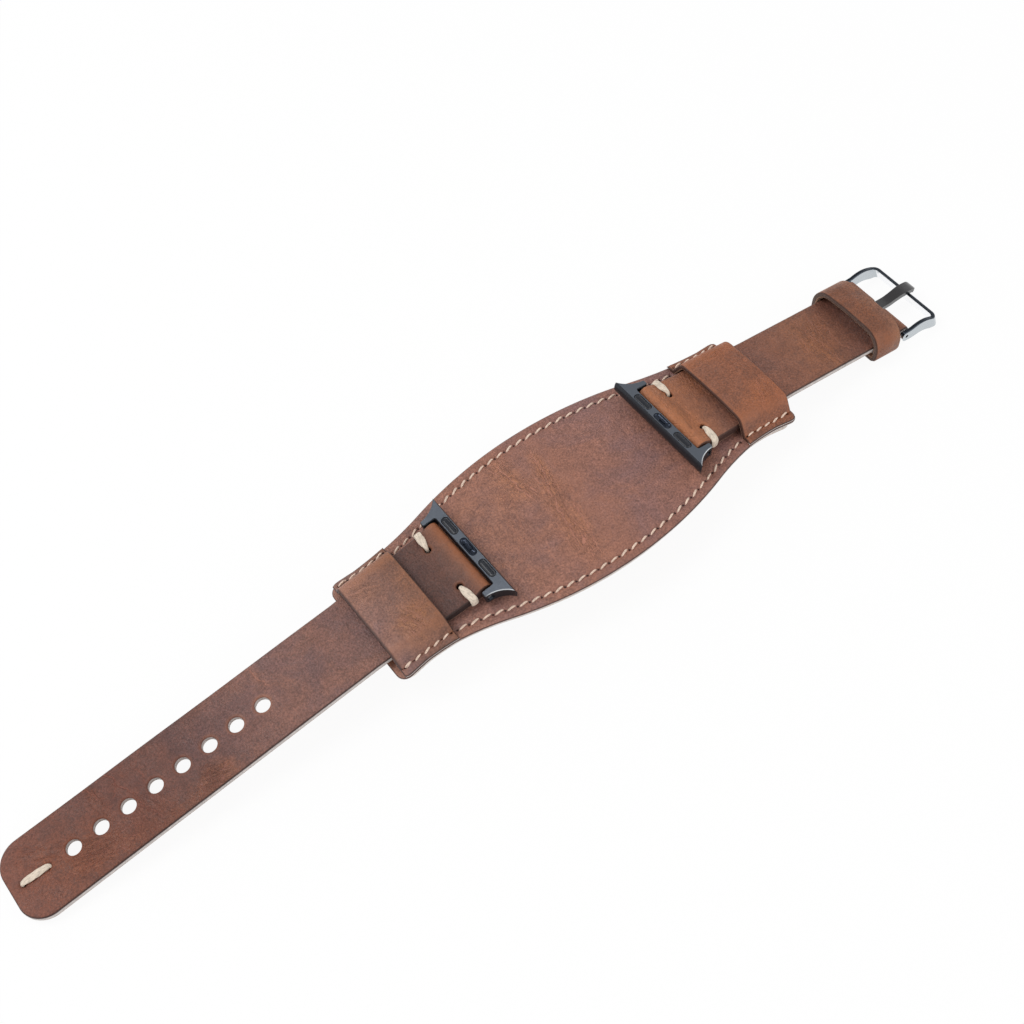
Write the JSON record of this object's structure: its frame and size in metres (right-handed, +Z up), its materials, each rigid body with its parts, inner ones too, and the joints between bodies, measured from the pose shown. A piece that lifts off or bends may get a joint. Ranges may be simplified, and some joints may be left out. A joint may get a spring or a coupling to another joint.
{
  "type": "bund watch strap",
  "caption": "Open leather bund watch strap with an arched pad, two leather bridges, sliding case adapters, keeper loop and a pin buckle.",
  "frame": {"origin": "on the resting surface, under the middle of the strap's whole length and width", "axes": "+X along the strap towards the buckle, +Y across it, +Z up from the resting surface"},
  "size_m": [0.2306, 0.0394, 0.0157],
  "materials": {
    "brown_leather": "oiled pull-up leather, satin",
    "lining_leather": "smooth lining leather, matt",
    "waxed_thread": "waxed cream thread",
    "adapter_metal": "satin black coating",
    "insert_rubber": "matt",
    "lock_metal": "satin black coating",
    "buckle_metal": "polished black coating",
    "bar_steel": "dark turned steel",
    "spring_steel": "drawn wire"
  },
  "bodies": {
    "pad": {"pad_top_leather": "brown_leather", "pad_lining": "lining_leather", "tail_bridge": "brown_leather", "buckle_bridge": "brown_leather"},
    "tail": {"tail_strap": "brown_leather", "tail_side_stitches": "waxed_thread", "tail_tip_stitch": "waxed_thread"},
    "tail_adapter": {"tail_adapter_body": "adapter_metal", "tail_adapter_inserts": "insert_rubber", "tail_button_spring": "spring_steel", "tail_lug_bar": "bar_steel"},
    "tail_button": {"tail_lock_button": "lock_metal"},
    "buckle_side": {"buckle_strap": "brown_leather", "buckle_side_stitches": "waxed_thread", "buckle_fold_stitches": "waxed_thread"},
    "buckle_adapter": {"buckle_adapter_body": "adapter_metal", "buckle_adapter_inserts": "insert_rubber", "buckle_button_spring": "spring_steel", "buckle_lug_bar": "bar_steel"},
    "buckle_button": {"buckle_lock_button": "lock_metal"},
    "keeper": {"keeper_loop": "brown_leather"},
    "frame": {"buckle_frame": "buckle_metal", "spring_bar_tube": "bar_steel", "spring_bar_coil": "spring_steel"},
    "tongue": {"buckle_tongue": "buckle_metal"},
    "tip_near": {"spring_bar_tip_near": "bar_steel"},
    "tip_far": {"spring_bar_tip_far": "bar_steel"}
  },
  "joints": [
    {"name": "tail_slide", "type": "slide", "parent": "pad", "child": "tail", "axis": [-0.9933, 0, -0.1157], "range_m": [-0.017, 0.005]},
    {"name": "buckle_slide", "type": "slide", "parent": "pad", "child": "buckle_side", "axis": [0.9877, 0, -0.1564], "range_m": [-0.017, 0.005]},
    {"name": "tail_adapter_hinge", "type": "hinge", "parent": "tail", "child": "tail_adapter", "pos_m": [-0.00898, 0, 0.01382], "axis": [0, -1, 0], "range_deg": [-8, 60]},
    {"name": "buckle_adapter_hinge", "type": "hinge", "parent": "buckle_side", "child": "buckle_adapter", "pos_m": [0.04668, 0, 0.01268], "axis": [0, 1, 0], "range_deg": [-8, 60]},
    {"name": "tail_button_press", "type": "slide", "parent": "tail_adapter", "child": "tail_button", "axis": [0.1157, 0, -0.9933], "range_m": [0, 0.0005], "stiffness_N_per_m": 150, "springref_m": -0.0005, "deforming": ["tail_button_spring"]},
    {"name": "buckle_button_press", "type": "slide", "parent": "buckle_adapter", "child": "buckle_button", "axis": [-0.1564, 0, -0.9877], "range_m": [0, 0.0005], "stiffness_N_per_m": 150, "springref_m": -0.0005, "deforming": ["buckle_button_spring"]},
    {"name": "keeper_slide", "type": "slide", "parent": "buckle_side", "child": "keeper", "axis": [0.9877, 0, -0.1564], "range_m": [-0.007, 0.0003]},
    {"name": "frame_hinge", "type": "hinge", "parent": "buckle_side", "child": "frame", "pos_m": [0.10466, 0, 0.0035], "axis": [0, -1, 0], "range_deg": [-30, 30]},
    {"name": "tongue_hinge", "type": "hinge", "parent": "frame", "child": "tongue", "pos_m": [0.10466, 0, 0.0035], "axis": [0, -1, 0], "range_deg": [0, 60]},
    {"name": "near_tip_press", "type": "slide", "parent": "frame", "child": "tip_near", "axis": [0, 1, 0], "range_m": [0, 0.0007], "stiffness_N_per_m": 200, "springref_m": -0.0007},
    {"name": "far_tip_press", "type": "slide", "parent": "frame", "child": "tip_far", "axis": [0, -1, 0], "range_m": [0, 0.0007], "stiffness_N_per_m": 200, "springref_m": -0.0007}
  ]
}
